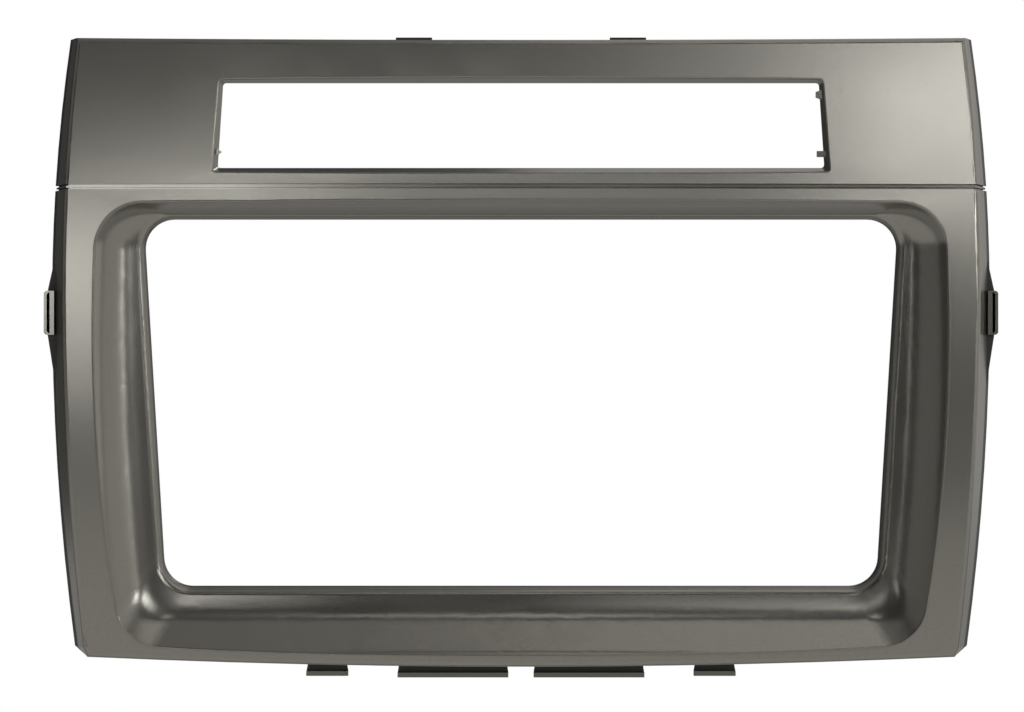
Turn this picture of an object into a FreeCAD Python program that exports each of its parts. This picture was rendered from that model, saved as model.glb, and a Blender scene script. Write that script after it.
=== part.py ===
import FreeCAD, Part
import math
import os

import Sketcher
from FreeCAD import Placement, Rotation, Vector

# Car radio mounting frame: one injection-moulded fascia with a wide radio opening, a dished bezel
# round it, a display slot above and snap tongues on its rim. Millimetres.
# X runs to the right, Z up, and the front looks along -Y. The origin is the centre of the radio
# opening, in the rear plane in which the rim seats on the dashboard.

SIZES = {
    # depth, wall and the double crown of the front: wide across, tighter from top to bottom
    "frame_depth": 16.0,
    "crown_radius": 2050.0,
    "upright_crown_radius": 1000.0,
    "crown_height": 12.8,
    "wall": 2.2,
    "crown_margin": 2.0,
    # radio opening and its collar
    "opening_height": 100.35,
    "opening_top_half": 103.33,
    "opening_taper": 6.0,
    "opening_corner_radius": 8.0,
    "collar_rear_gap": 0.6,
    # outline at the rear plane, set out from the radio opening
    "panel_height": 49.1,
    "side_width": 25.33,
    "widest_height": 28.1,
    "top_narrowing": 5.14,
    "foot_narrowing": 6.28,
    "foot_margin": 16.4,
    "corner_cut_width": 2.9,
    "corner_cut_drop": 2.4,
    "bottom_bow": 2.45,
    "top_dip": 0.8,
    # how far the edges lean in from the rear plane to the front edge of the flanks
    "flank_depth": 12.1,
    "top_flare": 4.2,
    "widest_flare": 4.43,
    "foot_flare": 4.75,
    "corner_cut_flare": 2.4,
    "edge_draft": 0.25,
    "front_edge_radius": 1.5,
    # dished bezel, how far it spreads from the radio opening at the full depth
    "dish_depth": 11.5,
    "bezel_wall": 1.8,
    "dish_top_width": 4.51,
    "dish_shoulder_width": 13.2,
    "dish_foot_width": 13.98,
    "dish_bottom_width": 22.6,
    "dish_side_bow": 2.9,
    "dish_top_radius": 13.0,
    "dish_bottom_radius": 12.0,
    "lip_radius": 2.6,
    "rim_radius": 0.5,
    # display slot, measured in the plane of the frame's full depth
    "slot_rise": 25.25,
    "slot_front_height": 26.9,
    "slot_front_bottom_half": 84.37,
    "slot_taper": 1.5,
    "slot_draft_inset": 1.94,
    "slot_depth": 7.5,
    "slot_corner_radius": 0.9,
    "slot_wall": 1.8,
    "slot_edge_radius": 0.5,
    # parting groove
    "groove_rise": 8.52,
    "groove_pitch": 0.95,
    "groove_line_width": 0.45,
    "groove_depth": 0.9,
    "groove_land_drop": 0.3,
    # snap tongues on the top edge
    "tongue_thickness": 1.5,
    "tongue_rear_gap": 0.8,
    "tongue_root": 1.2,
    "top_tongue_reach": 0.45,
    "top_tongue_width": 9.9,
    "top_tongue_place": 29.3,
    # snap tongues on the bottom edge
    "bottom_tongue_reach": 3.7,
    "small_tongue_width": 11.4,
    "large_tongue_width": 30.3,
    "small_tongue_place": 53.0,
    "large_tongue_place": 18.6,
    "ridge_height": 1.3,
    "ridge_depth": 1.3,
    "tongue_end_slant": 0.7,
    # side hooks
    "hook_height": 24.6,
    "hook_length": 12.0,
    "hook_reach": 1.6,
    "hook_ridge_thickness": 0.8,
    "hook_front_depth": 5.0,
    "hook_rear_depth": 1.5,
    "hook_end_cut": 0.55,
    "gusset_upper_run": 9.5,
    "gusset_lower_run": 13.5,
    "gusset_reach": 0.9,
    # stiffening ribs at the back
    "rib_thickness": 1.2,
    "rib_rear_gap": 3.0,
    "upright_rib_spacing": 44.0,
    "side_rib_spacing": 38.0,
    "shoulder_rib_rise": 1.7,
    # retaining nubs on the ends of the display slot
    "nub_thickness": 1.4,
    "nub_rear_gap": 0.5,
    "left_nub_drop": 7.2,
    "left_nub_reach": 0.8,
    "left_nub_width": 1.3,
    "right_bump_rise": 8.3,
    "right_bump_reach": 1.2,
    "right_bump_width": 3.0,
    "right_finger_drop": 7.8,
    "right_finger_reach": 1.8,
    "right_finger_width": 1.6,
}

# The dish's profile from the lip outwards: shares of its depth, of its width at the top and sides,
# and of its width at the bottom, where a flat floor turns up into a wall.
DISH_PROFILE = (
    (0.0, 0.0, 0.0),
    (0.045, 0.25, 0.22),
    (0.175, 0.485, 0.43),
    (0.385, 0.695, 0.585),
    (0.67, 0.87, 0.775),
    (1.0, 1.0, 0.8),
    (1.2, 1.05, 0.81),
)
WALL_LEVELS = 6
SMALL_LENGTH = 1e-6


class Term:
    """A length: its value, and the sheet expression that gives the same value."""

    def __init__(self, value, text):
        self.value = value
        self.text = text

    def __add__(self, other):
        other = term(other)
        return Term(self.value + other.value, f"({self.text} + {other.text})")

    def __sub__(self, other):
        other = term(other)
        return Term(self.value - other.value, f"({self.text} - {other.text})")

    def __mul__(self, other):
        other = term(other)
        return Term(self.value * other.value, f"({self.text} * {other.text})")

    def __truediv__(self, other):
        other = term(other)
        return Term(self.value / other.value, f"({self.text} / {other.text})")

    def __neg__(self):
        return Term(-self.value, f"(0 - {self.text})")


def term(value):
    """The value itself where it is a Term already, or a plain number made one."""
    if isinstance(value, Term):
        return value
    return Term(float(value), repr(float(value)))


def size(name):
    """A size of the sheet by its alias."""
    return Term(SIZES[name], f"Sizes.{name}")


def root(value):
    """The square root of a Term."""
    return Term(math.sqrt(value.value), f"sqrt({value.text})")


def arc_sine(ratio):
    """The angle in degrees whose sine is the ratio."""
    return Term(math.degrees(math.asin(ratio.value)), f"asin({ratio.text})")


def opening_half_height():
    """Half the radio opening's height."""
    return size("opening_height") / 2


def opening_bottom_half():
    """Half the radio opening's width at its bottom."""
    return size("opening_top_half") - size("opening_taper")


def top_height():
    """How high the frame's top corners stand at the rear plane."""
    return opening_half_height() + size("panel_height")


def foot_drop():
    """How far below the origin the flanks end and the bottom corners are cut."""
    return opening_half_height() + size("foot_margin")


def widest_half():
    """Half the frame's width at its widest place, at the rear plane."""
    return size("opening_top_half") + size("side_width")


def slot_centre():
    """The height of the display slot's centre."""
    return opening_half_height() + size("slot_rise")


def groove_centre():
    """The height of the parting groove's centre line."""
    return opening_half_height() + size("groove_rise")


def bow_radius(start, end, bow):
    """The radius of an arc between two corners that stands out from its chord by the bow."""
    across = end[0] - start[0]
    along = end[1] - start[1]
    chord_squared = across * across + along * along
    return (chord_squared / 4 + bow * bow) / (bow * 2)


def level_arc_radius(reach, rise):
    """The radius of an arc that starts upright and drifts sideways by the reach over the rise."""
    return (reach * reach + rise * rise) / (reach * 2)


def make_sheet(doc):
    """The sheet that holds every driving size under its own alias."""
    sheet = doc.addObject("Spreadsheet::Sheet", "Sizes")
    for row, (name, value) in enumerate(SIZES.items(), start=1):
        sheet.set(f"A{row}", name)
        sheet.set(f"B{row}", repr(value))
        sheet.setAlias(f"B{row}", name)
    doc.recompute()
    return sheet


def new_body(doc, name):
    """A body with a label of its own, left where it is modelled."""
    body = doc.addObject("PartDesign::Body", name)
    body.Label = name
    body.Placement = Placement(Vector(0, 0, 0), Rotation())
    return body


def new_sketch(body, name, role, offset):
    """An empty sketch on one of the body's own planes, moved along the plane's normal."""
    sketch = body.newObject("Sketcher::SketchObject", name)
    plane = next(item for item in body.Origin.OriginFeatures if item.Role == role)
    sketch.AttachmentSupport = (plane, [""])
    sketch.MapMode = "FlatFace"
    offset = term(offset)
    sketch.AttachmentOffset = Placement(Vector(0, 0, offset.value), Rotation())
    sketch.setExpression("AttachmentOffset.Base.z", offset.text)
    return sketch


def bind(sketch, constraint, expression):
    """Add a constraint whose value follows the sheet."""
    index = sketch.addConstraint(constraint)
    name = f"size_{index}"
    sketch.renameConstraint(index, name)
    sketch.setExpression(f"Constraints.{name}", expression.text)


def pin_point(sketch, geometry, place, corner):
    """Fix a point of the sketch at a corner measured from the sketch's origin."""
    across = Sketcher.Constraint("DistanceX", -1, 1, geometry, place, corner[0].value)
    bind(sketch, across, corner[0])
    along = Sketcher.Constraint("DistanceY", -1, 1, geometry, place, corner[1].value)
    bind(sketch, along, corner[1])


def flat_point(corner):
    """A corner as a plain vector in the sketch."""
    return Vector(corner[0].value, corner[1].value, 0)


def left_bulging_arc(start, end, radius):
    """An arc that runs anticlockwise from start to end."""
    chord = end - start
    normal = Vector(-chord.y, chord.x, 0).normalize()
    rise = math.sqrt(max(radius**2 - chord.Length**2 / 4, 0))
    centre = (start + end) * 0.5 + normal * rise
    first = math.atan2(start.y - centre.y, start.x - centre.x)
    last = math.atan2(end.y - centre.y, end.x - centre.x)
    if last < first:
        last += 2 * math.pi
    return Part.ArcOfCircle(Part.Circle(centre, Vector(0, 0, 1), radius), first, last)


def corner_ends(points, index, radius):
    """Where a corner's rounding starts and ends on the two sides that meet there."""
    point = points[index]
    back = (points[index - 1] - point).normalize()
    onward = (points[(index + 1) % len(points)] - point).normalize()
    reach = radius / math.tan(back.getAngle(onward) / 2)
    return point + back * reach, point + onward * reach


def draw_outline(sketch, corners, corner_radii=None, side_radii=None, hollow_sides=()):
    """Draw one closed outline, anticlockwise, with every corner and radius bound to the sheet.

    A corner radius of None leaves the corner sharp, and a side radius of None leaves the side
    straight. Side number i runs from corner i to the next one, and the hollow sides curve in.
    """
    count = len(corners)
    corner_radii = corner_radii or [None] * count
    side_radii = side_radii or [None] * count
    points = [flat_point(corner) for corner in corners]
    ends = []
    for index, radius in enumerate(corner_radii):
        if radius is None:
            ends.append((points[index], points[index]))
        else:
            ends.append(corner_ends(points, index, radius.value))
    sides = []
    for index, radius in enumerate(side_radii):
        start = ends[index][1]
        end = ends[(index + 1) % count][0]
        if radius is None:
            side = Part.LineSegment(start, end)
        elif index in hollow_sides:
            side = left_bulging_arc(end, start, radius.value)
        else:
            side = left_bulging_arc(start, end, radius.value)
        sides.append(sketch.addGeometry(side, False))
    for index, radius in enumerate(corner_radii):
        before = sides[index - 1]
        after = sides[index]
        before_end = 1 if (index - 1) % count in hollow_sides else 2
        after_start = 2 if index in hollow_sides else 1
        if radius is None:
            sketch.addConstraint(
                Sketcher.Constraint("Coincident", before, before_end, after, after_start))
            pin_point(sketch, after, after_start, corners[index])
            continue
        arc = left_bulging_arc(ends[index][0], ends[index][1], radius.value)
        rounding = sketch.addGeometry(arc, False)
        sketch.addConstraint(Sketcher.Constraint("Tangent", before, before_end, rounding, 1))
        sketch.addConstraint(Sketcher.Constraint("Tangent", rounding, 2, after, after_start))
        bind(sketch, Sketcher.Constraint("Radius", rounding, radius.value), radius)
        meeting = sketch.addGeometry(Part.Point(points[index]), True)
        pin_point(sketch, meeting, 1, corners[index])
        sketch.addConstraint(Sketcher.Constraint("PointOnObject", meeting, 1, before))
        sketch.addConstraint(Sketcher.Constraint("PointOnObject", meeting, 1, after))
    for side, radius in zip(sides, side_radii):
        if radius is not None:
            bind(sketch, Sketcher.Constraint("Radius", side, radius.value), radius)


def add_loft(body, name, sections, kind="AdditiveLoft", ruled=False):
    """A solid or a cut that passes through the sections in order."""
    loft = body.newObject(f"PartDesign::{kind}", name)
    loft.Profile = sections[0]
    loft.Sections = sections[1:]
    loft.Ruled = ruled
    return loft


def add_pad(body, name, sketch, length):
    """A pad along the sketch's own normal."""
    pad = body.newObject("PartDesign::Pad", name)
    pad.Profile = sketch
    pad.Length = length.value
    pad.setExpression("Length", length.text)
    return pad


def add_pocket(body, name, sketch, length=None, midplane=False):
    """A cut to a length against the sketch's normal, or through all of the body both ways."""
    pocket = body.newObject("PartDesign::Pocket", name)
    pocket.Profile = sketch
    if length is None:
        pocket.Type = "ThroughAll"
    else:
        pocket.Length = length.value
        pocket.setExpression("Length", length.text)
    if midplane:
        pocket.SideType = "Symmetric"
    return pocket


def lean(flare, forward):
    """How far an edge has leaned in at a distance forward of the rear plane."""
    return size(flare) * forward / size("flank_depth")


def mirrored_pairs(right_corners):
    """A closed outline, anticlockwise, from the corners of its right half listed upwards."""
    left_corners = [(-across, along) for across, along in reversed(right_corners)]
    return right_corners + left_corners


def draw_rim(sketch, forward, inset):
    """The frame's outline at a distance forward of the rear plane, shrunk by the inset."""
    draft = size("edge_draft") - lean("edge_draft", forward)
    top = top_height() + draft - inset
    widest = widest_half() - lean("widest_flare", forward) - inset
    top_half = widest_half() - size("top_narrowing") - lean("top_flare", forward) - inset
    foot_half = widest_half() - size("foot_narrowing") - lean("foot_flare", forward) - inset
    cut_width = size("corner_cut_width") - lean("corner_cut_flare", forward)
    foot = -foot_drop()
    cut_foot = foot - size("corner_cut_drop") - draft + inset
    corners = mirrored_pairs([
        (foot_half - cut_width, cut_foot),
        (foot_half, foot),
        (widest, size("widest_height")),
        (top_half, top),
    ])
    lower_flank = level_arc_radius(widest - foot_half, size("widest_height") - foot)
    upper_flank = level_arc_radius(widest - top_half, top - size("widest_height"))
    top_edge = bow_radius(corners[3], corners[4], size("top_dip"))
    bottom = bow_radius(corners[-1], corners[0], size("bottom_bow"))
    radii = [None, lower_flank, upper_flank, top_edge, upper_flank, lower_flank, None, bottom]
    draw_outline(sketch, corners, side_radii=radii, hollow_sides=(3,))


def crown_drop(height, behind):
    """How far the crown has fallen back at a height, on a surface that far behind the front."""
    radius = size("upright_crown_radius") - behind
    climb = height - size("crown_height")
    return radius - root(radius * radius - climb * climb)


def front_reach(height, behind, across):
    """How far forward of the rear plane the crown stands at a height and a distance sideways."""
    radius = size("crown_radius") - behind - crown_drop(height, behind)
    return root(radius * radius - across * across) - size("crown_radius") + size("frame_depth")


def cut_crown(body, name, behind):
    """Turn away all in front of the double crown, or of a surface that far behind it.

    The profile runs from top to bottom and turns about an upright axis far behind the frame.
    """
    low = -(foot_drop() + size("corner_cut_drop") + size("bottom_bow") + size("crown_margin"))
    high = top_height() + size("crown_margin")
    middle = size("crown_radius") - behind
    ahead = -(size("crown_radius") + size("frame_depth"))
    corners = [(crown_drop(high, behind) - middle, high), (crown_drop(low, behind) - middle, low),
               (ahead, low), (ahead, high)]
    sketch = new_sketch(body, f"{name}_profile", "YZ_Plane", 0)
    axis_place = size("crown_radius") - size("frame_depth")
    sketch.AttachmentOffset = Placement(Vector(axis_place.value, 0, 0), Rotation())
    sketch.setExpression("AttachmentOffset.Base.x", axis_place.text)
    draw_outline(sketch, corners,
                 side_radii=[size("upright_crown_radius") - behind, None, None, None])
    turned = body.newObject("PartDesign::Groove", name)
    turned.Profile = sketch
    turned.ReferenceAxis = (sketch, ["V_Axis"])
    turned.Midplane = True
    reach = widest_half() + size("crown_margin") * 2
    sweep = arc_sine(reach / (size("crown_radius") - size("frame_depth"))) * 2
    turned.Angle = sweep.value
    turned.setExpression("Angle", sweep.text)
    return turned


def add_tray(body, name, behind, inset):
    """The solid between the rear plane and the crowned front, shrunk by the inset."""
    sections = []
    front = size("frame_depth") - behind + size("crown_margin")
    for end, forward in (("rear", term(0)), ("front", front)):
        sketch = new_sketch(body, f"{name}_{end}", "XZ_Plane", forward)
        draw_rim(sketch, forward, inset)
        sections.append(sketch)
    return add_loft(body, name, sections, ruled=True)


def trapezoid(top_half, bottom_half, top, bottom):
    """The corners of an upright trapezoid, anticlockwise from the lower right."""
    return mirrored_pairs([(bottom_half, bottom), (top_half, top)])


def blend(near, far, share):
    """The length a share of the way from one size to another."""
    return size(near) + (size(far) - size(near)) * share


def draw_opening(sketch, growth):
    """The radio opening's rounded trapezoid."""
    half_height = opening_half_height() + growth
    corners = trapezoid(size("opening_top_half") + growth, opening_bottom_half() + growth,
                        half_height, -half_height)
    draw_outline(sketch, corners, corner_radii=[size("opening_corner_radius") + growth] * 4)


def dish_section(body, name, shares, growth):
    """One level of the dished bezel, from the opening's lip outwards and forwards."""
    forward, outward, downward = shares
    level = size("frame_depth") - size("dish_depth") * (1 - forward) - growth
    sketch = new_sketch(body, name, "XZ_Plane", level)
    if forward == 0:
        draw_opening(sketch, growth)
        return sketch
    top = opening_half_height() + size("dish_top_width") * outward + growth
    bottom = -(opening_half_height() + size("dish_bottom_width") * downward + growth)
    top_half = size("opening_top_half") + size("dish_shoulder_width") * outward + growth
    bottom_half = opening_bottom_half() + size("dish_foot_width") * outward + growth
    corners = trapezoid(top_half, bottom_half, top, bottom)
    top_radius = blend("opening_corner_radius", "dish_top_radius", outward) + growth
    bottom_radius = blend("opening_corner_radius", "dish_bottom_radius", outward) + growth
    side = bow_radius(corners[0], corners[1], size("dish_side_bow") * outward)
    draw_outline(sketch, corners,
                 corner_radii=[bottom_radius, top_radius, top_radius, bottom_radius],
                 side_radii=[side, None, side, None])
    return sketch


def add_dish(body, name, kind, profile, growth):
    """The dished bezel as a solid to add or a hollow to cut, grown by the wall outside."""
    sections = [dish_section(body, f"{name}_level_{number}", shares, growth)
                for number, shares in enumerate(profile)]
    return add_loft(body, name, sections, kind)


def add_collar(body):
    """The short wall round the radio opening, from the dish back to just short of the rear."""
    rear = size("collar_rear_gap")
    sketch = new_sketch(body, "collar_outline", "XZ_Plane", rear)
    draw_opening(sketch, size("bezel_wall"))
    length = size("frame_depth") - size("dish_depth") - size("bezel_wall") - rear
    return add_pad(body, "opening_collar", sketch, length)


def cut_opening(body):
    """The radio opening, cut right through."""
    sketch = new_sketch(body, "opening_outline", "XZ_Plane", 0)
    draw_opening(sketch, term(0))
    return add_pocket(body, "radio_opening", sketch, midplane=True)


def slot_inset(forward):
    """How far the slot's drafted walls have come in at a distance forward of the rear plane."""
    behind = size("frame_depth") - forward
    return size("slot_draft_inset") * behind / size("slot_depth")


def slot_section(body, name, forward, growth):
    """The display slot's outline at a distance forward of the rear plane."""
    change = growth - slot_inset(forward)
    half_height = size("slot_front_height") / 2 + change
    bottom_half = size("slot_front_bottom_half") + change
    corners = trapezoid(bottom_half - size("slot_taper"), bottom_half,
                        slot_centre() + half_height, slot_centre() - half_height)
    sketch = new_sketch(body, name, "XZ_Plane", forward)
    draw_outline(sketch, corners, corner_radii=[size("slot_corner_radius") + growth] * 4)
    return sketch


def add_slot(body, name, kind, growth):
    """The display slot's drafted walls as a solid to add or a hollow to cut."""
    rear = size("frame_depth") - size("slot_depth")
    front = size("frame_depth") + size("crown_margin")
    sections = [slot_section(body, f"{name}_rear", rear, growth),
                slot_section(body, f"{name}_front", front, growth)]
    return add_loft(body, name, sections, kind, ruled=True)


def rectangle(left, right, bottom, top):
    """The corners of a rectangle, anticlockwise from the lower right."""
    return [(right, bottom), (right, top), (left, top), (left, bottom)]


def rib_strips():
    """The strips that the ribs fill, seen from the front: left, right, bottom and top."""
    half = size("rib_thickness") / 2
    outside = widest_half() + size("crown_margin")
    slot_reach = size("slot_front_height") / 2 - size("slot_draft_inset") + size("slot_wall") * 0.7
    slot_bottom = slot_centre() - slot_reach
    slot_top = slot_centre() + slot_reach
    above = top_height() + size("crown_margin")
    slot_side = size("slot_front_bottom_half") - size("slot_draft_inset") / 2
    strips = []
    for number in (-1.5, -0.5, 0.5, 1.5):
        across = size("upright_rib_spacing") * number
        strips.append((across - half, across + half, opening_half_height(), slot_bottom))
        strips.append((across - half, across + half, slot_top, above))
    levels = [(size("widest_height") - size("side_rib_spacing") * number,
               opening_bottom_half()) for number in (0, 1, 2)]
    for height, near in levels + [(slot_centre() + size("shoulder_rib_rise"), slot_side)]:
        strips.append((near, outside, height - half, height + half))
        strips.append((-outside, -near, height - half, height + half))
    return strips


def leave_ribs(body):
    """Take thin strips out of the hollow, so that ribs of the moulding stand there."""
    front = size("frame_depth")
    sketch = new_sketch(body, "rib_outlines", "XZ_Plane", front)
    for strip in rib_strips():
        draw_outline(sketch, rectangle(*strip))
    return add_pocket(body, "ribs", sketch, front - size("rib_rear_gap"))


def groove_half_width(forward):
    """Half the frame's width at the groove, a distance forward of the rear plane."""
    widest = widest_half() - lean("widest_flare", forward)
    top_half = widest_half() - size("top_narrowing") - lean("top_flare", forward)
    rise = top_height() - size("widest_height")
    radius = level_arc_radius(widest - top_half, rise)
    climb = groove_centre() - size("widest_height")
    return widest - radius + root(radius * radius - climb * climb)


def cut_groove(body, name, height, width, depth):
    """A flat-bottomed groove of even depth across the crowned front and over both flanks."""
    front = front_reach(height, term(0), groove_half_width(size("flank_depth")))
    inner_front = groove_half_width(front) - depth
    inner_rear = groove_half_width(term(0)) - depth
    outer = widest_half() + size("crown_margin")
    ahead = -(size("frame_depth") + size("crown_margin"))
    behind = size("crown_margin")
    floor = -front_reach(height, depth, inner_front)
    arc = [(-inner_front, floor), (inner_front, floor)]
    right = [(inner_rear, term(0)), (inner_rear, behind), (outer, behind), (outer, ahead)]
    left = [(-across, along) for across, along in reversed(right)]
    corners = arc + right + left
    floor_radius = size("crown_radius") - depth - crown_drop(height, depth)
    radii = [floor_radius] + [None] * (len(corners) - 1)
    sketch = new_sketch(body, f"{name}_sketch", "XY_Plane", height)
    draw_outline(sketch, corners, side_radii=radii)
    return add_pocket(body, name, sketch, length=width, midplane=True)


def bottom_edge(across):
    """The height of the bowed bottom edge at a distance from the centre line."""
    half = widest_half() - size("foot_narrowing") - size("corner_cut_width")
    lowest = foot_drop() + size("corner_cut_drop") + size("bottom_bow")
    return size("bottom_bow") * (across / half) * (across / half) - lowest


def add_top_tongues(body):
    """Two thin tongues that stand up behind the top edge."""
    sketch = new_sketch(body, "top_tongue_outlines", "XZ_Plane", size("tongue_rear_gap"))
    half = size("top_tongue_width") / 2
    bottom = top_height() - size("top_dip") - size("tongue_root")
    top = top_height() + size("edge_draft") + size("top_tongue_reach")
    for side in (-1, 1):
        across = size("top_tongue_place") * side
        draw_outline(sketch, rectangle(across - half, across + half, bottom, top))
    return add_pad(body, "top_tongues", sketch, size("tongue_thickness"))


def tongue_places():
    """The centre and width of each bottom tongue."""
    return [(size(f"{kind}_tongue_place") * side, size(f"{kind}_tongue_width"))
            for kind in ("small", "large") for side in (-1, 1)]


def add_bottom_tongues(body):
    """Four tongues under the bottom edge, wider at the tip, each with a ridge along its tip."""
    plate_rear = size("tongue_rear_gap")
    plate = new_sketch(body, "bottom_tongue_outlines", "XZ_Plane", plate_rear)
    ridge_rear = plate_rear + size("tongue_thickness")
    ridge = new_sketch(body, "tongue_ridge_outlines", "XZ_Plane", ridge_rear)
    slant = size("tongue_end_slant")
    root_height = bottom_edge(size("small_tongue_place")) + size("tongue_root")
    for across, width in tongue_places():
        half = width / 2
        tip = bottom_edge(across) - size("bottom_tongue_reach")
        ridge_top = tip + size("ridge_height")
        draw_outline(plate, [(across + half, tip), (across + half, ridge_top),
                             (across + half - slant, root_height),
                             (across - half + slant, root_height),
                             (across - half, ridge_top), (across - half, tip)])
        draw_outline(ridge, rectangle(across - half, across + half, tip, ridge_top))
    add_pad(body, "bottom_tongues", plate, size("tongue_thickness"))
    return add_pad(body, "tongue_ridges", ridge, size("ridge_depth"))


def add_side_gussets(body):
    """A thin tapering flange on each flank that carries the side hook."""
    sketch = new_sketch(body, "gusset_outlines", "XZ_Plane", size("tongue_rear_gap"))
    half_length = size("hook_length") / 2
    low = size("hook_height") - half_length
    high = size("hook_height") + half_length
    near = widest_half() - size("tongue_root")
    far = widest_half() + size("gusset_reach")
    right = [(near, low - size("gusset_lower_run")), (far, low), (far, high),
             (near, high + size("gusset_upper_run"))]
    left = [(-across, along) for across, along in reversed(right)]
    draw_outline(sketch, right)
    draw_outline(sketch, left)
    return add_pad(body, "side_gussets", sketch, size("tongue_thickness"))


def hook_outline(near, far, trim):
    """A side hook's outline with its outer corners cut, shrunk at both ends by the trim."""
    half_length = size("hook_length") / 2 - trim
    low = size("hook_height") - half_length
    high = size("hook_height") + half_length
    cut = size("hook_end_cut")
    right = [(near, low), (far - cut, low), (far, low + cut), (far, high - cut),
             (far - cut, high), (near, high)]
    left = [(-across, along) for across, along in reversed(right)]
    return right, left


def add_side_hooks(body):
    """A hook on each flank: an outer ridge that springs clear of the flank by an open slot."""
    near = widest_half() - size("tongue_root")
    far = widest_half() + size("hook_reach")
    ridge = size("hook_ridge_thickness")
    block = new_sketch(body, "hook_outlines", "XZ_Plane", -size("hook_rear_depth"))
    for outline in hook_outline(near, far, term(0)):
        draw_outline(block, outline)
    add_pad(body, "hook_blocks", block, size("hook_rear_depth") + size("hook_front_depth"))
    slot = new_sketch(body, "hook_slot_outlines", "XZ_Plane", size("hook_front_depth"))
    for outline in hook_outline(widest_half(), far - ridge, ridge / 2):
        draw_outline(slot, outline)
    return add_pocket(body, "hook_slots", slot, size("hook_front_depth"))


def slot_end(height):
    """Where the display slot's end wall stands at its rear edge, at a height."""
    middle = size("slot_front_bottom_half") - size("slot_taper") / 2
    climb = (height - slot_centre()) / size("slot_front_height")
    return middle - size("slot_taper") * climb - size("slot_draft_inset")


def add_slot_nubs(body):
    """Small retaining nubs on the slot's ends: a point at the left, a bump and a finger right."""
    rear = size("frame_depth") - size("slot_depth") + size("nub_rear_gap")
    sketch = new_sketch(body, "nub_outlines", "XZ_Plane", rear)
    height = slot_centre() - size("left_nub_drop")
    wall = slot_end(height)
    width = size("left_nub_width")
    sunk = -(wall + size("slot_wall") / 2)
    draw_outline(sketch, [(size("left_nub_reach") - wall, height), (sunk, height + width),
                          (sunk, height - width)])
    height = slot_centre() - size("right_finger_drop")
    wall = slot_end(height)
    half = size("right_finger_width") / 2
    draw_outline(sketch, rectangle(wall - size("right_finger_reach"), wall + size("slot_wall") / 2,
                                   height - half, height + half))
    height = slot_centre() + size("right_bump_rise")
    wall = slot_end(height)
    half = size("right_bump_width") / 2
    tip = wall - size("right_bump_reach")
    sunk = wall + size("slot_wall") / 2
    draw_outline(sketch, [(sunk, height - half), (sunk, height + half), (tip, height + half / 2),
                          (tip, height - half / 2)])
    return add_pad(body, "slot_nubs", sketch, size("nub_thickness"))


def front_face(shape):
    """The crowned front, the largest face that the crown's profile turned."""
    crowned = [face for face in shape.Faces if isinstance(face.Surface, Part.Toroid)]
    return max(crowned, key=lambda face: face.Area)


def edge_names(shape, wanted):
    """The names in the shape of the wanted edges."""
    return [f"Edge{index}" for index, edge in enumerate(shape.Edges, start=1)
            if any(edge.isSame(other) for other in wanted)]


def add_fillet(body, name, base, edges, radius):
    """Round the named edges of the base feature."""
    fillet = body.newObject("PartDesign::Fillet", name)
    fillet.Base = (base, edges)
    fillet.Radius = radius.value
    fillet.setExpression("Radius", radius.text)
    return fillet


def rounded_width(wire):
    """How wide a loop of edges is."""
    return wire.BoundBox.XLength


def round_front_edges(doc, body):
    """Round the outer edge of the front, the bezel's rim and the slot's edge, in that order."""
    for name, rank, radius in (("front_edge_rounding", 0, "front_edge_radius"),
                               ("rim_rounding", 1, "rim_radius"),
                               ("slot_edge_rounding", 2, "slot_edge_radius")):
        doc.recompute()
        base = body.Tip
        face = front_face(base.Shape)
        loops = sorted(face.Wires, key=rounded_width, reverse=True)
        edges = edge_names(base.Shape, loops[rank].Edges)
        add_fillet(body, name, base, edges, size(radius))


def round_lip(doc, body):
    """Round the bezel's lip where its floor meets the radio opening."""
    doc.recompute()
    base = body.Tip
    level = -(SIZES["frame_depth"] - SIZES["dish_depth"])
    wanted = []
    for edge in base.Shape.Edges:
        box = edge.BoundBox
        reach = max(abs(box.XMin), abs(box.XMax))
        within = reach < SIZES["opening_top_half"] + SMALL_LENGTH
        within = within and abs(edge.CenterOfMass.z) < SIZES["opening_height"] / 2 + SMALL_LENGTH
        if within and box.YLength < SMALL_LENGTH * 10 and abs(box.YMin - level) < SMALL_LENGTH * 10:
            wanted.append(edge)
    add_fillet(body, "lip_rounding", base, edge_names(base.Shape, wanted), size("lip_radius"))


def build_hollow(doc):
    """The space inside the moulding, between the rear plane and the front wall."""
    body = new_body(doc, "hollow_form")
    add_tray(body, "hollow_tray", size("wall"), size("wall"))
    cut_crown(body, "hollow_crown", size("wall"))
    leave_ribs(body)
    return body


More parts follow.
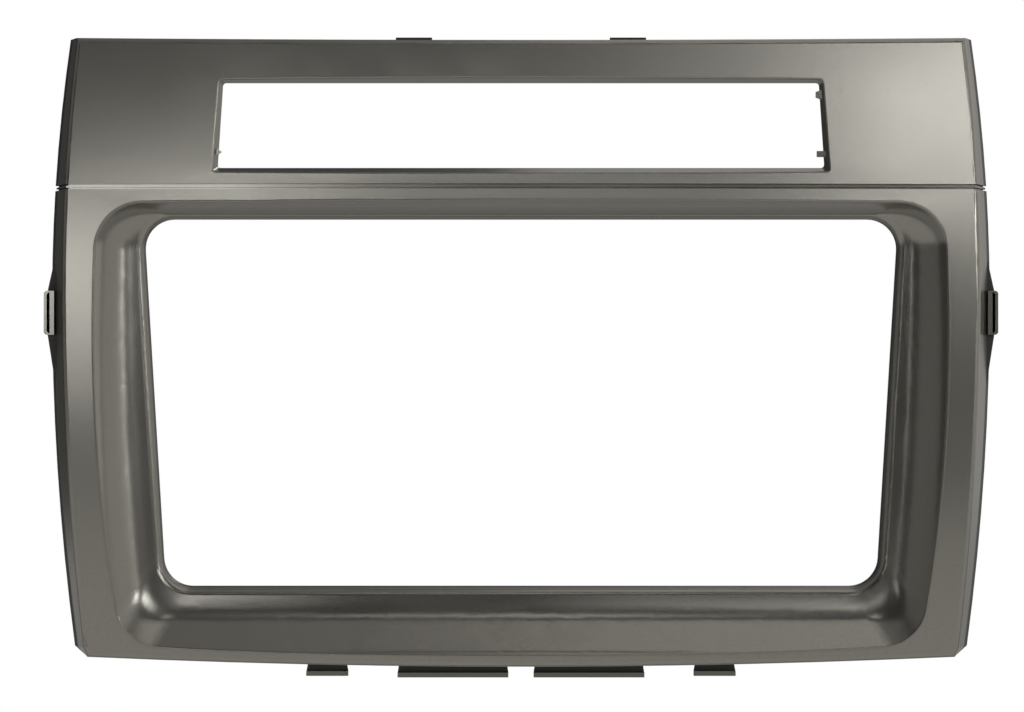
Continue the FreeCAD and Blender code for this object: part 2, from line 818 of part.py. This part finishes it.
def build_frame(doc):
    """The whole moulded frame as one body."""
    hollow = build_hollow(doc)
    doc.recompute()
    body = new_body(doc, "fascia_frame")
    add_tray(body, "outer_tray", term(0), term(0))
    doc.recompute()
    shell = body.newObject("PartDesign::Boolean", "open_back")
    shell.Type = "Cut"
    shell.Group = [hollow]
    doc.recompute()
    add_dish(body, "bezel_wall", "AdditiveLoft", DISH_PROFILE[:WALL_LEVELS], size("bezel_wall"))
    add_collar(body)
    add_slot(body, "slot_wall", "AdditiveLoft", size("slot_wall"))
    cut_crown(body, "front_crown", term(0))
    add_dish(body, "bezel_hollow", "SubtractiveLoft", DISH_PROFILE, term(0))
    cut_opening(body)
    add_slot(body, "display_slot", "SubtractiveLoft", term(0))
    round_lip(doc, body)
    round_front_edges(doc, body)
    half_pitch = size("groove_pitch") / 2
    height = groove_centre()
    line_width = size("groove_line_width")
    cut_groove(body, "upper_groove", height + half_pitch, line_width, size("groove_depth"))
    cut_groove(body, "lower_groove", height - half_pitch, line_width, size("groove_depth"))
    cut_groove(body, "groove_land", height, size("groove_pitch"), size("groove_land_drop"))
    add_top_tongues(body)
    add_bottom_tongues(body)
    add_side_gussets(body)
    add_side_hooks(body)
    add_slot_nubs(body)
    return body


def check(doc, pieces):
    """Stop if any object failed or any piece isn't one valid solid."""
    for item in doc.Objects:
        if {"Invalid", "Error"} & set(item.State):
            raise RuntimeError(f"{item.Name} failed: {item.getStatusString()}")
    for piece in pieces:
        shape = piece.Shape
        if shape.isNull() or not shape.isValid():
            raise RuntimeError(f"{piece.Label} has no valid shape")


def main():
    """Build the frame and write it as a STEP file."""
    doc = FreeCAD.newDocument("radio_mounting_frame")
    make_sheet(doc)
    pieces = [build_frame(doc)]
    doc.recompute()
    check(doc, pieces)
    os.makedirs("parts", exist_ok=True)
    for piece in pieces:
        piece.Shape.exportStep(f"parts/{piece.Label}.step")


main()
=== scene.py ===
"""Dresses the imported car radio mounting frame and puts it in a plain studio.

Metres, Z up, and the front of the frame looks along -Y.
"""

import logging
import math
from collections.abc import Sequence
from dataclasses import dataclass, field
from enum import Enum
from typing import Any

import bpy
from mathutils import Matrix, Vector


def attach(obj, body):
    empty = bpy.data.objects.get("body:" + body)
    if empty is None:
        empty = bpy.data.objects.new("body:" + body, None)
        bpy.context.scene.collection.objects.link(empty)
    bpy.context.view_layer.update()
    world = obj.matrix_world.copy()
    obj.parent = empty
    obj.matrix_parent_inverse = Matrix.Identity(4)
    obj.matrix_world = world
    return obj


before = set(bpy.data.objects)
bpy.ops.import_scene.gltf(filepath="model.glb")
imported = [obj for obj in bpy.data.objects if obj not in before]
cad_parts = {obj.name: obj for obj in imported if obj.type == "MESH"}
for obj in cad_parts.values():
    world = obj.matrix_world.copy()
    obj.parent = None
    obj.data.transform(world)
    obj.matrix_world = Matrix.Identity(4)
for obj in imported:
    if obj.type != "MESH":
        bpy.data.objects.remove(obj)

LOG = logging.getLogger("radio_frame")
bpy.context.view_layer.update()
NODE = "fascia_frame"
MM = 0.001
# Noise values beyond these two are rare, so a pattern is stretched between them.
NOISE_SPAN = (0.3, 0.7)
SMOOTH = {"interpolation_type": "SMOOTHSTEP"}
COLOUR_MIX = {"data_type": "RGBA"}
NUMBER_MIX = {"data_type": "FLOAT"}

Point = tuple[float, float, float]
Tree = bpy.types.NodeTree
Node = bpy.types.Node


def linear(code: str) -> tuple[float, float, float, float]:
    """Turn an sRGB hex colour into the linear colour that a shader socket takes.

    Args:
        code: Six hex digits, such as "8a8880".

    Returns:
        Linear red, green and blue, and an alpha of 1.
    """
    channels = [int(code[place:place + 2], 16) / 255 for place in (0, 2, 4)]
    red, green, blue = [value / 12.92 if value <= 0.04045 else ((value + 0.055) / 1.055) ** 2.4
                        for value in channels]
    return red, green, blue, 1.0


def add_node(tree: Tree, kind: str, settings: dict[str, Any] | None = None,
             inputs: dict[Any, Any] | None = None) -> Node:
    """Add one node with its settings, its input values and its incoming links.

    Args:
        tree: The node tree that gets the node.
        kind: The node's type, such as "ShaderNodeMath".
        settings: Properties of the node by name.
        inputs: Input sockets by name or number, each a plain value or an output socket.

    Returns:
        The new node.
    """
    node = tree.nodes.new(kind)
    for name, value in (settings or {}).items():
        setattr(node, name, value)
    for key, value in (inputs or {}).items():
        if isinstance(value, bpy.types.NodeSocket):
            tree.links.new(value, node.inputs[key])
        else:
            node.inputs[key].default_value = value
    return node


def fresh_material(name: str) -> tuple[bpy.types.Material, Tree, Node]:
    """Make an empty node material.

    Args:
        name: The material's name.

    Returns:
        The material, its node tree and its output node.
    """
    material = bpy.data.materials.new(name)
    material.use_nodes = True
    tree = material.node_tree
    tree.nodes.clear()
    return material, tree, add_node(tree, "ShaderNodeOutputMaterial")


def lay_sheet(name: str, corners: Sequence[Point],
              material: bpy.types.Material) -> bpy.types.Object:
    """Make a flat sheet of the studio.

    Args:
        name: The sheet's name.
        corners: Its four corners in order.
        material: Its material.

    Returns:
        The sheet's object.
    """
    mesh = bpy.data.meshes.new(name)
    mesh.from_pydata(corners, [], [(0, 1, 2, 3)])
    mesh.materials.append(material)
    sheet = bpy.data.objects.new(name, mesh)
    bpy.context.scene.collection.objects.link(sheet)
    return sheet


def seen_share(tree: Tree, other: float, seen: float) -> Any:
    """Tell what the eye, a gloss or a clear piece sees from what only lights the set.

    Args:
        tree: The material's or the world's tree.
        other: The value for all other rays.
        seen: The value for camera, glossy and transmission rays.

    Returns:
        The value's socket.
    """
    path = add_node(tree, "ShaderNodeLightPath")
    share = path.outputs["Is Camera Ray"]
    for name in ("Is Glossy Ray", "Is Transmission Ray"):
        share = add_node(tree, "ShaderNodeMath", {"operation": "MAXIMUM"},
                         {0: share, 1: path.outputs[name]}).outputs[0]
    return add_node(tree, "ShaderNodeMapRange", {}, {
        "Value": share, "To Min": other, "To Max": seen}).outputs[0]


class Grain(Enum):
    """How many finer layers lie on a noise pattern."""

    FINE = 1.0
    CLOUDY = 3.0


class PaintTree:
    """A material's node tree with the object's own coordinates at hand."""

    def __init__(self, name: str) -> None:
        """Start an empty material called name."""
        self.material, self.tree, self.output = fresh_material(name)
        coordinates = add_node(self.tree, "ShaderNodeTexCoord")
        self.place = coordinates.outputs["Object"]
        self.normal = coordinates.outputs["Normal"]

    def pattern(self, feature_mm: float, grain: Grain, low: float, high: float) -> Any:
        """Draw a cloudy pattern with spots of a real size.

        Args:
            feature_mm: The distance between two light spots, in millimetres.
            grain: How many finer layers lie on it.
            low: The value in the dark spots.
            high: The value in the light spots.

        Returns:
            The pattern's socket.
        """
        noise = add_node(self.tree, "ShaderNodeTexNoise", {}, {
            "Vector": self.place, "Scale": 1 / (feature_mm * MM), "Detail": grain.value})
        return add_node(self.tree, "ShaderNodeMapRange", SMOOTH, {
            "Value": noise.outputs["Fac"], "From Min": NOISE_SPAN[0], "From Max": NOISE_SPAN[1],
            "To Min": low, "To Max": high}).outputs["Result"]


@dataclass(frozen=True)
class SatinSilverPaint:
    """Warm silver base coat with fine aluminium flake under a satin lacquer.

    The flake gives a warm metallic body, and the lacquer broad soft white highlights with a faint
    orange peel. Real flake is 0.02 mm; it is drawn coarser, so that the finest of it just shows.
    """

    flake_light: str = "8f8d86"
    flake_dark: str = "87857e"
    metallic: float = 0.85
    roughness: float = 0.22
    roughness_spread: float = 0.015
    flake_mm: float = 0.3
    drift_mm: float = 40.0
    peel_mm: float = 2.2
    peel_height_mm: float = 0.0016


@dataclass(frozen=True)
class BareAbs:
    """Charcoal ABS as it leaves the mould, spark-eroded fine and dull.

    It shows wherever the spray gun in front of the part doesn't reach: the whole back, the
    tongues, and the rear of the flanks and hooks.
    """

    dark: str = "252523"
    light: str = "2d2c2a"
    roughness: float = 0.5
    grain_mm: float = 0.7
    grain_height_mm: float = 0.01


@dataclass(frozen=True)
class PaintedMoulding:
    """The frame's one material: bare ABS with satin paint on all that faces the front.

    The paint starts where the surface turns to the front, from facing_bare to facing_full on its
    normal, and thins out towards the seat, from spray_full_mm to spray_fades_mm.
    """

    paint: SatinSilverPaint = field(default_factory=SatinSilverPaint)
    plastic: BareAbs = field(default_factory=BareAbs)
    facing_bare: float = -0.004
    facing_full: float = -0.016
    spray_fades_mm: float = -2.35
    spray_full_mm: float = -4.2

    def painted_share(self, skin: PaintTree) -> Any:
        """Where the paint lies.

        Args:
            skin: The material's tree.

        Returns:
            A socket that is 1 on painted skin and 0 on bare plastic.
        """
        facing = add_node(skin.tree, "ShaderNodeSeparateXYZ", {}, {0: skin.normal})
        depth = add_node(skin.tree, "ShaderNodeSeparateXYZ", {}, {0: skin.place})
        front = add_node(skin.tree, "ShaderNodeMapRange", SMOOTH, {
            "Value": facing.outputs["Y"], "From Min": self.facing_bare,
            "From Max": self.facing_full, "To Min": 0.0, "To Max": 1.0})
        return add_node(skin.tree, "ShaderNodeMapRange", SMOOTH, {
            "Value": depth.outputs["Y"], "From Min": self.spray_fades_mm * MM,
            "From Max": self.spray_full_mm * MM, "To Min": 0.0,
            "To Max": front.outputs["Result"]}).outputs["Result"]

    def build(self) -> bpy.types.Material:
        """Make the material.

        Returns:
            The finished material.
        """
        paint, plastic = self.paint, self.plastic
        skin = PaintTree("satin_silver_paint_on_abs")
        share = self.painted_share(skin)
        body = add_node(skin.tree, "ShaderNodeMix", COLOUR_MIX, {
            0: skin.pattern(paint.flake_mm, Grain.FINE, 0.0, 1.0),
            6: linear(paint.flake_dark), 7: linear(paint.flake_light)})
        bare = add_node(skin.tree, "ShaderNodeMix", COLOUR_MIX, {
            0: skin.pattern(plastic.grain_mm, Grain.CLOUDY, 0.0, 1.0),
            6: linear(plastic.dark), 7: linear(plastic.light)})
        colour = add_node(skin.tree, "ShaderNodeMix", COLOUR_MIX, {
            0: share, 6: bare.outputs[2], 7: body.outputs[2]})
        metallic = add_node(skin.tree, "ShaderNodeMapRange", SMOOTH, {
            "Value": share, "From Min": 0.0, "From Max": 1.0,
            "To Min": 0.0, "To Max": paint.metallic})
        roughness = add_node(skin.tree, "ShaderNodeMix", NUMBER_MIX, {
            0: share, 2: plastic.roughness,
            3: skin.pattern(paint.drift_mm, Grain.FINE, paint.roughness - paint.roughness_spread,
                            paint.roughness + paint.roughness_spread)})
        relief = add_node(skin.tree, "ShaderNodeMix", NUMBER_MIX, {
            0: share,
            2: skin.pattern(plastic.grain_mm, Grain.CLOUDY, 0.0, plastic.grain_height_mm * MM),
            3: skin.pattern(paint.peel_mm, Grain.FINE, 0.0, paint.peel_height_mm * MM)})
        bump = add_node(skin.tree, "ShaderNodeBump", {}, {
            "Strength": 1.0, "Distance": 1.0, "Height": relief.outputs[0]})
        shader = add_node(skin.tree, "ShaderNodeBsdfPrincipled", {}, {
            "Base Color": colour.outputs[2], "Metallic": metallic.outputs["Result"],
            "Roughness": roughness.outputs[0], "Normal": bump.outputs["Normal"]})
        skin.tree.links.new(shader.outputs["BSDF"], skin.output.inputs["Surface"])
        return skin.material


@dataclass(frozen=True)
class RimCrest:
    """The fine raised crest along the bezel's rim, a guess for the photo's bright line there.

    The front is crowned with two radii about crown_height. A facet within 3 degrees of that crown
    lies flat. The rim lies between the two heights and forward of rearmost. Lengths are in metres
    where the name doesn't say millimetres.
    """

    radius_mm: float = 0.3
    spacing_mm: float = 0.9
    facets_round: int = 8
    crown_height: float = 0.0128
    across_radius: float = 2.05
    upright_radius: float = 1.0
    flat_cosine: float = 0.9986
    lowest: float = -0.0695
    highest: float = 0.0575
    rearmost: float = -0.009
    same_place_digits: int = 6

    def lies_flat(self, polygon: bpy.types.MeshPolygon) -> bool:
        """Tell whether a facet belongs to the crowned front.

        Args:
            polygon: A facet of the frame.

        Returns:
            True where its normal is the crown's own.
        """
        centre = polygon.center
        crown = Vector((centre.x / self.across_radius, -1.0,
                        (centre.z - self.crown_height) / self.upright_radius))
        return polygon.normal.dot(crown.normalized()) > self.flat_cosine

    def border(self, mesh: bpy.types.Mesh) -> bpy.types.Mesh:
        """Find the line in which the crowned front ends at the bezel.

        Args:
            mesh: The frame's mesh.

        Returns:
            A mesh of that line's points and edges.
        """
        sides: dict[frozenset, list[bpy.types.MeshPolygon]] = {}
        for polygon in mesh.polygons:
            ring = [tuple(round(value, self.same_place_digits)
                          for value in mesh.vertices[index].co) for index in polygon.vertices]
            for first, second in zip(ring, ring[1:] + ring[:1]):
                sides.setdefault(frozenset((first, second)), []).append(polygon)
        places: dict[Point, int] = {}
        edges = []
        for edge, pair in sides.items():
            flat = [side for side in pair if self.lies_flat(side)]
            bent = [side for side in pair if not self.lies_flat(side)]
            if len(edge) != 2 or not flat or not bent:
                continue
            middle = sum((Vector(point) for point in edge), Vector()) / 2
            inward = Vector((-middle.x, 0.0, -middle.z))
            inside = self.lowest < middle.z < self.highest and middle.y < self.rearmost
            if inside and (bent[0].normal - flat[0].normal).dot(inward) > 0:
                edges.append([places.setdefault(point, len(places)) for point in edge])
        line = bpy.data.meshes.new("rim_line")
        line.from_pydata(list(places), edges, [])
        return line

    def build_group(self) -> tuple[bpy.types.NodeTree, dict[str, str]]:
        """Make the node group that runs a round bead along a line.

        Returns:
            The group, and the identifiers of its inputs by name.
        """
        group = bpy.data.node_groups.new("bead_along_line", "GeometryNodeTree")
        sockets = {}
        for name, kind in (("Geometry", "Geometry"), ("Spacing", "Float"), ("Radius", "Float"),
                           ("Finish", "Material")):
            socket = group.interface.new_socket(name, in_out="INPUT",
                                                socket_type=f"NodeSocket{kind}")
            sockets[name] = socket.identifier
        group.interface.new_socket("Geometry", in_out="OUTPUT", socket_type="NodeSocketGeometry")
        given = add_node(group, "NodeGroupInput").outputs
        path = add_node(group, "GeometryNodeMeshToCurve", {}, {"Mesh": given["Geometry"]})
        even = add_node(group, "GeometryNodeResampleCurve", {"mode": "LENGTH"}, {
            "Curve": path.outputs[0], "Length": given["Spacing"]})
        round_bar = add_node(group, "GeometryNodeCurvePrimitiveCircle", {"mode": "RADIUS"}, {
            "Resolution": self.facets_round, "Radius": given["Radius"]})
        bead = add_node(group, "GeometryNodeCurveToMesh", {}, {
            "Curve": even.outputs[0], "Profile Curve": round_bar.outputs["Curve"]})
        smooth = add_node(group, "GeometryNodeSetShadeSmooth", {}, {
            "Geometry": bead.outputs[0]})
        real = add_node(group, "GeometryNodeRealizeInstances", {}, {
            "Geometry": smooth.outputs[0]})
        coated = add_node(group, "GeometryNodeSetMaterial", {}, {
            "Geometry": real.outputs[0], "Material": given["Finish"]})
        add_node(group, "NodeGroupOutput", {}, {"Geometry": coated.outputs[0]})
        return group, sockets

    def build(self, source: bpy.types.Object, finish: bpy.types.Material) -> bpy.types.Object:
        """Run the crest round the rim of the frame.

        Args:
            source: The frame's object.
            finish: The material.

        Returns:
            The crest's object.
        """
        group, sockets = self.build_group()
        guide = bpy.data.objects.new("rim_guide", self.border(source.data))
        bpy.context.scene.collection.objects.link(guide)
        layer = guide.modifiers.new("crest", "NODES")
        layer.node_group = group
        layer[sockets["Spacing"]] = self.spacing_mm * MM
        layer[sockets["Radius"]] = self.radius_mm * MM
        layer[sockets["Finish"]] = finish
        bpy.context.view_layer.update()
        evaluated = guide.evaluated_get(bpy.context.evaluated_depsgraph_get())
        mesh = bpy.data.meshes.new_from_object(evaluated)
        mesh.name = "rim_crest"
        crest = bpy.data.objects.new("rim_crest", mesh)
        bpy.context.scene.collection.objects.link(crest)
        bpy.data.objects.remove(guide)
        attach(crest, "root")
        return crest


@dataclass
class FasciaFrame:
    """The one moulded piece. Its shape is the CAD node; its finish and crest are made here."""

    finish: PaintedMoulding = field(default_factory=PaintedMoulding)
    crest: RimCrest = field(default_factory=RimCrest)

    def dress(self) -> bpy.types.Object:
        """Give the CAD node its finish and its crest.

        Returns:
            The CAD node's object.
        """
        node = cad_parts[NODE]
        material = self.finish.build()
        for slot in node.material_slots:
            slot.material = material
        crest = self.crest.build(node, material)
        LOG.info("rim crest of %d faces", len(crest.data.polygons))
        return node


@dataclass(frozen=True)
class Softbox:
    """A square softbox that looks at a point of the frame."""

    name: str
    place: Point
    edge: float
    watts: float
    aim: Point = (0.0, -0.01, 0.012)

    def build(self) -> bpy.types.Object:
        """Hang the softbox.

        Returns:
            The lamp's object.
        """
        lamp = bpy.data.lights.new(self.name, "AREA")
        lamp.shape = "SQUARE"
        lamp.size = self.edge
        lamp.energy = self.watts
        box = bpy.data.objects.new(self.name, lamp)
        bpy.context.scene.collection.objects.link(box)
        box.location = self.place
        away = Vector(self.aim) - Vector(self.place)
        box.rotation_euler = away.to_track_quat("-Z", "Y").to_euler()
        return box


@dataclass(frozen=True)
class StudioCard:
    """A plain card of the set, which the paint reflects and the camera doesn't see.

    A card with no glow is a flag, which also keeps the lamps off what is behind it.
    """

    name: str
    corners: Sequence[Point]
    tone: float
    paper: str = "fffdfa"

    def build(self) -> bpy.types.Object:
        """Stand the card.

        Returns:
            The card's object.
        """
        material, tree, output = fresh_material(f"{self.name}_paper")
        glow = add_node(tree, "ShaderNodeEmission", {}, {
            "Color": linear(self.paper), "Strength": self.tone})
        tree.links.new(glow.outputs[0], output.inputs["Surface"])
        card = lay_sheet(self.name, self.corners, material)
        card.visible_camera = False
        card.visible_shadow = self.tone == 0.0
        return card


@dataclass(frozen=True)
class Viewpoint:
    """The photograph's camera, square to the frame at its middle height."""

    place: Point = (-0.00245, -0.916, 0.0128)
    focal_mm: float = 117.36
    sensor_mm: float = 36.0
    nearest: float = 0.01

    def build(self) -> bpy.types.Object:
        """Set up the camera and make it the scene's own.

        Returns:
            The camera's object.
        """
        lens = bpy.data.cameras.new("front_camera")
        lens.sensor_width = self.sensor_mm
        lens.lens = self.focal_mm
        lens.clip_start = self.nearest
        camera = bpy.data.objects.new("front_camera", lens)
        bpy.context.scene.collection.objects.link(camera)
        camera.location = self.place
        camera.rotation_euler = (math.radians(90), 0.0, 0.0)
        bpy.context.scene.camera = camera
        return camera


@dataclass
class Studio:
    """A pale floor, a white surround, plain cards and softboxes.

    Lamps have a name, a place and a power in watts, and cards a name and a glow. The softboxes on
    each side stay low, which leaves the top of the panel dark, as in the photo.
    """

    floor_height: float = -0.30
    floor_half: float = 1.9
    floor_paper: str = "f2f2f0"
    floor_glow: float = 0.82
    fill: float = 0.3
    box_edge: float = 0.24
    lamps: tuple[tuple[str, Point, float], ...] = (
        ("right_inner", (0.50, -1.6, 0.40), 0.66),
        ("right_outer", (0.76, -1.6, 0.38), 1.50),
        ("right_near", (0.25, -1.6, 0.40), 0.17),
        ("right_upper", (0.52, -1.6, 0.65), 0.36),
        ("left_outer", (-0.60, -1.6, 0.12), 0.50),
        ("left_middle", (-0.42, -1.6, 0.14), 0.44),
        ("left_inner", (-0.26, -1.6, 0.20), 0.52),
        ("middle", (0.0, -1.6, 0.24), 0.20),
        ("high_middle", (0.0, -1.6, 1.00), 0.33),
        ("far_right", (1.6, -1.6, 0.36), 2.40),
        ("rear", (0.6, 1.5, 0.90), 4.0),
    )
    reach: float = 2.4
    card_lift: float = 0.002
    flag_from: Point = (-0.13, -0.5, -0.02)
    flag_to: Point = (0.03, -0.5, 0.10)
    tones: tuple[tuple[str, float], ...] = (
        ("front", 0.02), ("left_front", 0.22), ("left_rear", 0.05), ("right_front", 0.62),
        ("right_rear", 0.80), ("top_left", 0.28), ("top_right", 0.80), ("rear_left", 0.06),
        ("rear_right", 0.45), ("flag", 0.0),
        ("floor_front", 0.64), ("floor_rear", 0.36),
    )

    def card_corners(self) -> dict[str, Sequence[Point]]:
        """Work out where the cards stand: a box round the set, and the flag ahead of the frame.

        Returns:
            The four corners of each card by its name.
        """
        far, low = self.reach, self.floor_height + self.card_lift
        (left, ahead, foot), (right, _, head) = self.flag_from, self.flag_to
        return {
            "front": ((-far, -far, low), (far, -far, low), (far, -far, far), (-far, -far, far)),
            "rear_left": ((-far, far, low), (0, far, low), (0, far, far), (-far, far, far)),
            "rear_right": ((0, far, low), (far, far, low), (far, far, far), (0, far, far)),
            "flag": ((left, ahead, foot), (right, ahead, foot), (right, ahead, head),
                     (left, ahead, head)),
            "left_front": ((-far, 0, low), (-far, -far, low), (-far, -far, far), (-far, 0, far)),
            "left_rear": ((-far, far, low), (-far, 0, low), (-far, 0, far), (-far, far, far)),
            "right_front": ((far, -far, low), (far, 0, low), (far, 0, far), (far, -far, far)),
            "right_rear": ((far, 0, low), (far, far, low), (far, far, far), (far, 0, far)),
            "floor_front": ((-far, 0, low), (-far, -far, low), (far, -far, low), (far, 0, low)),
            "floor_rear": ((-far, 0, low), (far, 0, low), (far, far, low), (-far, far, low)),
            "top_left": ((-far, -far, far), (0, -far, far), (0, far, far), (-far, far, far)),
            "top_right": ((0, -far, far), (far, -far, far), (far, far, far), (0, far, far)),
        }

    def build_floor(self) -> bpy.types.Object:
        """Lay the floor: white to the eye, plain paper to the frame, and darker in its shadow.

        Returns:
            The floor's object.
        """
        half, level = self.floor_half, self.floor_height
        material, tree, output = fresh_material("white_paper")
        paper = add_node(tree, "ShaderNodeBsdfDiffuse", {}, {"Color": linear(self.floor_paper)})
        glow = add_node(tree, "ShaderNodeEmission", {}, {
            "Strength": seen_share(tree, 0.0, self.floor_glow)})
        both = add_node(tree, "ShaderNodeAddShader", {}, {
            0: paper.outputs[0], 1: glow.outputs[0]})
        tree.links.new(both.outputs[0], output.inputs["Surface"])
        return lay_sheet("studio_floor", ((-half, -half, level), (half, -half, level),
                                          (half, half, level), (-half, half, level)), material)

    def build_world(self) -> bpy.types.World:
        """Surround the set with white for the eye and the gloss, and a softer light otherwise.

        Returns:
            The scene's world.
        """
        world = bpy.data.worlds.new("white_surround")
        world.use_nodes = True
        tree = world.node_tree
        tree.nodes.clear()
        sky = add_node(tree, "ShaderNodeBackground", {}, {
            "Color": (1.0, 1.0, 1.0, 1.0), "Strength": seen_share(tree, self.fill, 1.0)})
        output = add_node(tree, "ShaderNodeOutputWorld")
        tree.links.new(sky.outputs[0], output.inputs["Surface"])
        bpy.context.scene.world = world
        return world

    def build(self) -> None:
        """Set up the whole studio."""
        self.build_world()
        self.build_floor()
        corners = self.card_corners()
        for name, tone in self.tones:
            StudioCard(f"{name}_card", corners[name], tone).build()
        for name, place, watts in self.lamps:
            Softbox(f"{name}_softbox", place, self.box_edge, watts).build()


def main() -> None:
    """Build the camera, the dressed frame and the studio, in that order."""
    logging.basicConfig(level=logging.INFO, format="%(name)s: %(message)s")
    bpy.context.scene.view_settings.view_transform = "Standard"
    Viewpoint().build()
    piece = FasciaFrame().dress()
    LOG.info("dressed %s of %d facets", piece.name, len(piece.data.polygons))
    Studio().build()


if __name__ == "__main__":
    main()
